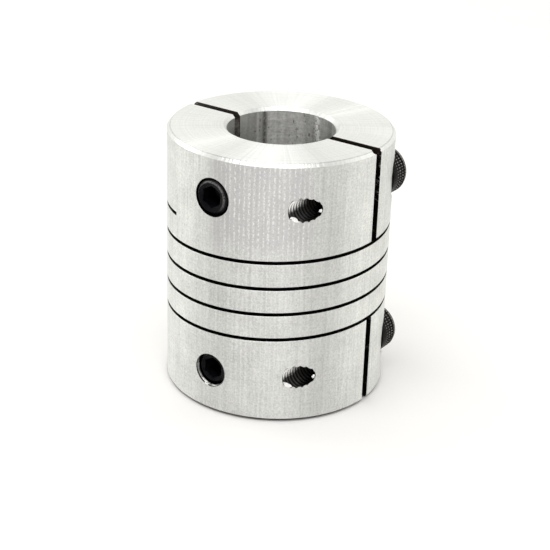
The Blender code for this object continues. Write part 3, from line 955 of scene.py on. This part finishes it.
def shade_turned(obj):
    """Gives the round walls, chamfers and flights of the bar their exact normals, so no facet shows."""
    mesh = obj.data
    mesh.shade_smooth()
    mesh.set_sharp_from_angle(angle=math.radians(BODY_SHARP_DEG))
    count = len(mesh.loops)
    points = np.zeros(len(mesh.vertices) * 3)
    mesh.vertices.foreach_get("co", points)
    points = points.reshape(-1, 3)
    vertex_of = np.zeros(count, int)
    mesh.loops.foreach_get("vertex_index", vertex_of)
    faces = len(mesh.polygons)
    normals = np.zeros(faces * 3)
    mesh.polygons.foreach_get("normal", normals)
    totals = np.zeros(faces, int)
    mesh.polygons.foreach_get("loop_total", totals)
    owner = np.repeat(np.arange(faces), totals)
    face_normal = normals.reshape(-1, 3)[owner]
    place = points[vertex_of]
    radius = np.hypot(place[:, 0], place[:, 1])
    radial = np.column_stack([place[:, 0], place[:, 1], np.zeros(count)]) / radius[:, None]
    outward = (face_normal * radial).sum(1)
    upward = face_normal[:, 2]
    by_side = np.abs(radius - RADIUS) < EDGE_CHAMFER + 0.01
    by_bore = np.abs(radius - BORE) < BORE_CHAMFER + 0.01
    near_wall = by_side | by_bore
    result = np.zeros((count, 3))

    round_wall = near_wall & (np.abs(outward) > 0.999) & (np.abs(upward) < 0.02)
    result[round_wall] = (np.sign(outward)[:, None] * radial)[round_wall]

    sloped = near_wall & (np.abs(np.abs(upward) - math.sqrt(0.5)) < 0.06) & (np.abs(outward) > 0.6)
    slope = np.sign(outward)[:, None] * radial + np.sign(upward)[:, None] * np.array([0, 0, 1])
    result[sloped] = (slope / math.sqrt(2))[sloped]

    rise = CUT_PITCH / (2 * math.pi)
    away_from_ends = (place[:, 2] > EDGE_CHAMFER + 0.1) & (place[:, 2] < LENGTH - EDGE_CHAMFER - 0.1)
    flight = away_from_ends & (np.abs(upward) > 0.99) & (np.abs(upward) < 0.99999)
    helicoid = np.column_stack([rise * radial[:, 1], -rise * radial[:, 0], radius])
    helicoid /= np.linalg.norm(helicoid, axis=1)[:, None]
    result[flight] = (np.sign(upward)[:, None] * helicoid)[flight]
    mesh.normals_split_custom_set(result.tolist())


def to_metres(obj):
    obj.data.transform(Matrix.Scale(MM, 4))


# ---------------------------------------------------------------- screws


def socket_tool(name, end, across_flats, depth, material):
    """A hexagonal key socket with a lead-in and a drilled bottom, in the end of a screw along Z."""
    corner = across_flats / 2 / math.cos(math.pi / 6)
    shape = bmesh.new()
    height = depth + 1
    bmesh.ops.create_cone(
        shape,
        cap_ends=True,
        segments=6,
        radius1=corner,
        radius2=corner,
        depth=height,
        matrix=Matrix.Translation((0, 0, end - depth + height / 2)),
    )
    hexagon = object_from_shape(name, shape, material)
    drill = across_flats / 2 * 0.96
    profile = [
        (0.0, end - depth - drill * 0.5),
        (drill, end - depth),
        (drill, end - corner * 0.16),
        (corner * 1.12, end + HAIR),
        (corner * 1.12, end + 0.5),
        (0.0, end + 0.5),
    ]
    return [hexagon, turned(f"{name}_drill", profile, 48, material)]


def clamp_head(hub):
    """A knurled socket cap along Z, from its seat at zero to its top."""
    stations = [
        (0.0, HEAD_FOOT_RADIUS, 0),
        (HEAD_FOOT_HEIGHT, HEAD_RADIUS, 0),
        (KNURL_LOW - 0.08, HEAD_RADIUS, 0),
        (KNURL_LOW, HEAD_RADIUS, 1),
        (KNURL_HIGH, HEAD_RADIUS, 1),
        (KNURL_HIGH + 0.05, HEAD_RADIUS, 0),
        (HEAD_HEIGHT - 0.06, HEAD_RADIUS - HEAD_CHAMFER + 0.05, 0),
        (HEAD_HEIGHT, HEAD_RADIUS - HEAD_CHAMFER - 0.06, 0),
    ]
    steps = KNURL_GROOVES * len(KNURL_WAVE)
    shape = bmesh.new()
    rings = []
    for height, radius, knurled in stations:
        ring = []
        for i in range(steps):
            groove = knurled * KNURL_DEPTH * KNURL_WAVE[i % len(KNURL_WAVE)]
            ring.append(shape.verts.new(on_circle(radius - groove, 360 * i / steps, height)))
        rings.append(ring)
    for ring, following in zip(rings, rings[1:]):
        for i in range(steps):
            shape.faces.new([ring[i], ring[(i + 1) % steps], following[(i + 1) % steps], following[i]])
    shape.faces.new(rings[0])
    shape.faces.new(rings[-1])
    return object_from_shape("clamp_head", shape, CLAMP_STEEL[hub])


def clamp_screw(hub):
    """M3 socket cap screw, whose threaded shank ends in a chamfer."""
    x, z, tip, top = screw_place(f"{hub}_clamp_screw")
    steel = CLAMP_STEEL[hub]
    seat = top - HEAD_HEIGHT
    length = seat - tip
    profile = [
        (0.0, -0.5),
        (CLAMP_MAJOR + 0.5, -0.5),
        (CLAMP_MAJOR + 0.5, length - 0.7),
        (CLAMP_MINOR - 0.17, length - HAIR),
        (0.0, length - HAIR),
    ]
    shank = threaded_rod("shank", CLAMP_MINOR, CLAMP_MAJOR, CLAMP_PITCH, length, steel)
    combined(shank, "INTERSECT", turned("shank_blank", profile, COARSE_STEPS, steel))
    placed(shank, Matrix.Rotation(math.pi, 4, "X") @ Matrix.Translation((0, 0, -SHANK_OVERLAP)))
    head = combined(clamp_head(hub), "UNION", shank)
    combined(head, "DIFFERENCE", *socket_tool("key", HEAD_HEIGHT, CLAMP_KEY, CLAMP_KEY_DEPTH, steel))
    head.name = f"{hub}_socket_cap_screw"
    return placed(head, pointing(1, x, seat, z))


def set_screw(hub):
    """M4 set screw with a cup point and a key socket."""
    x, z, outer_end, point = screw_place(f"{hub}_set_screw")
    steel = SET_STEEL[hub]
    length = point - outer_end
    major, chamfer, _ = SET_FITS[hub]
    reach = major + 0.5
    cup_rim = SET_CUP_RADIUS + SET_CUP_RIM
    profile = [
        (0.0, SET_CUP_DEPTH),
        (SET_CUP_RADIUS, HAIR),
        (cup_rim, HAIR),
        (reach, reach - cup_rim),
        (reach, length - (reach - major) - chamfer),
        (major - chamfer, length - HAIR),
        (0.0, length - HAIR),
    ]
    rod = threaded_rod("set_rod", major - SET_THREAD_DEPTH, major, SET_PITCH, length, steel)
    combined(rod, "INTERSECT", turned("set_blank", profile, COARSE_STEPS, steel))
    combined(rod, "DIFFERENCE", *socket_tool("key", length, SET_KEY, SET_KEY_DEPTH, steel))
    rod.name = f"{hub}_cup_point_screw"
    return placed(rod, pointing(-1, x, point, z))


def shade_sharp(obj):
    obj.data.shade_smooth()
    obj.data.set_sharp_from_angle(angle=math.radians(SCREW_SHARP_DEG))


# ---------------------------------------------------------------- assembly


def build_hubs():
    """The hub's own half is at -Y on the upper hub and at +Y on the lower one, and its jaw is opposite."""
    for hub, side in {"upper": -1, "lower": 1}.items():
        body = half_hub(f"{hub}_hub_body", hub, side, is_jaw=False)
        shade_turned(body)
        to_metres(body)
        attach(body, f"{hub}_hub")
        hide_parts(f"{hub}_hub")
        jaw = half_hub(f"{hub}_jaw_body", hub, -side, is_jaw=True)
        shade_turned(jaw)
        to_metres(jaw)
        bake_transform(jaw)
        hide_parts(f"{hub}_clamp_jaw")


def build_beam():
    """Each piece runs between the middles of two lengths, across the joint between them."""
    first = BEAM_START_DEG + ROOT_DEG
    last = BEAM_END_DEG - ROOT_DEG
    spacing = (last - first) / BEAM_LENGTHS
    for index in range(BEAM_LENGTHS + 1):
        joint_deg = first + spacing * index
        from_deg = max(BEAM_START_DEG, joint_deg - spacing / 2)
        to_deg = min(BEAM_END_DEG, joint_deg + spacing / 2)
        piece = beam_piece(f"beam_{index + 1}", from_deg, to_deg)
        shade_turned(piece)
        to_metres(piece)
        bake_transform(piece)
        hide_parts(f"beam_length_{min(index + 1, BEAM_LENGTHS)}")


def build_screws():
    for hub in HUBS:
        for make, node in ((clamp_screw, f"{hub}_clamp_screw"), (set_screw, f"{hub}_set_screw")):
            screw = make(hub)
            shade_sharp(screw)
            to_metres(screw)
            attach(screw, node)
            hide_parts(node)


# ---------------------------------------------------------------- studio


def camera():
    """Stands off the middle of the coupling, and is then turned a little in yaw, pitch and roll."""
    elevation = math.radians(CAMERA_ELEVATION_DEG)
    forward = Vector((0, math.cos(elevation), -math.sin(elevation)))
    right = Vector((1, 0, 0))
    up = right.cross(forward)
    location = Vector((0, 0, LENGTH / 2)) - CAMERA_DISTANCE * forward
    aim = Matrix.Rotation(math.radians(CAMERA_YAW_DEG), 3, up)
    aim = aim @ Matrix.Rotation(math.radians(CAMERA_PITCH_DEG), 3, right)
    forward, right = aim @ forward, aim @ right
    right = Matrix.Rotation(math.radians(CAMERA_ROLL_DEG), 3, forward) @ right
    up = right.cross(forward)
    swing = Matrix.Rotation(math.radians(CAMERA_AZIMUTH_DEG), 4, "Z")
    axes = Matrix((right, up, -forward)).transposed().to_4x4()
    data = bpy.data.cameras.new("camera")
    data.sensor_width = 36.0
    data.lens = CAMERA_LENS
    data.clip_start = 0.01
    data.clip_end = 10.0
    obj = new_object("camera", data)
    obj.matrix_world = swing @ Matrix.Translation(location * MM) @ axes
    bpy.context.scene.camera = obj


def towards_camera(azimuth_deg=0.0):
    """A level direction, counted from the camera's side of the coupling, turning to its right."""
    angle = math.radians(CAMERA_AZIMUTH_DEG + azimuth_deg)
    return Vector((math.sin(angle), -math.cos(angle), 0))


def softbox(name, azimuth_deg, elevation_deg, distance, width, height, power):
    """A rectangular area light that faces the coupling, in degrees, metres and watts."""
    elevation = math.radians(elevation_deg)
    direction = towards_camera(azimuth_deg) * math.cos(elevation) + Vector((0, 0, math.sin(elevation)))
    data = bpy.data.lights.new(name, "AREA")
    data.shape = "RECTANGLE"
    data.size = width
    data.size_y = height
    data.energy = power
    obj = new_object(name, data)
    obj.location = Vector((0, 0, LENGTH / 2 * MM)) + direction * distance
    obj.rotation_euler = direction.to_track_quat("Z", "Y").to_euler()
    obj.visible_camera = False


def lights():
    """Bright surroundings, darker to either side of the camera, and two softboxes."""
    world = bpy.data.worlds.new("studio")
    bpy.context.scene.world = world
    world.use_nodes = True
    nodes = Nodes(world.node_tree)
    direction = nodes.add("ShaderNodeTexCoord", output=0)

    def fade(value, from_deg, to_deg, to_low=0.0, to_high=1.0):
        return nodes.smooth(value, math.radians(from_deg), math.radians(to_deg), to_low, to_high)

    rightwards = nodes.dot(direction, tuple(towards_camera(90)))
    signed = nodes.math("ARCTAN2", rightwards, nodes.dot(direction, tuple(towards_camera())))
    azimuth = nodes.math("ABSOLUTE", signed)
    front = fade(azimuth, 22, 48, 0.42, 0.0)
    sides = fade(azimuth, 62, 82, 0.0, 0.82)
    near_right = fade(signed, 50, 74)
    near_right = nodes.math("MULTIPLY", near_right, fade(signed, 130, 100))
    level = nodes.total((front, 1.0), (sides, 1.0), (near_right, 0.65), (0.45, 1.0))
    share = nodes.smooth(nodes.dot(direction, (0, 0, 1)), 0.42, 0.72)
    strength = nodes.add("ShaderNodeMix", settings={"data_type": "FLOAT"}, i0=share, i2=level, i3=1.25)
    tint = nodes.mix(fade(azimuth, 60, 92), (1.0, 0.985, 0.99, 1), (1.0, 1.0, 0.968, 1))
    background = nodes.add("ShaderNodeBackground", Color=tint, Strength=strength)
    nodes.add("ShaderNodeOutputWorld", Surface=background)
    softbox("overhead", azimuth_deg=-18, elevation_deg=66, distance=0.4, width=0.38, height=0.14, power=0.74)
    softbox("side", azimuth_deg=-118, elevation_deg=34, distance=0.5, width=0.2, height=0.2, power=0.34)


def pale_floor():
    mesh = bpy.data.meshes.new("floor")
    corners = [(x * FLOOR_HALF, y * FLOOR_HALF, 0) for x, y in ((-1, -1), (1, -1), (1, 1), (-1, 1))]
    mesh.from_pydata(corners, [], [(0, 1, 2, 3)])
    mesh.materials.append(floor_material())
    floor = new_object("floor", mesh)
    floor.location.z = -FLOOR_DROP * MM


camera()
build_hubs()
build_beam()
build_screws()
lights()
pale_floor()
bpy.context.scene.view_settings.view_transform = "Standard"

bpy.context.view_layer.update()
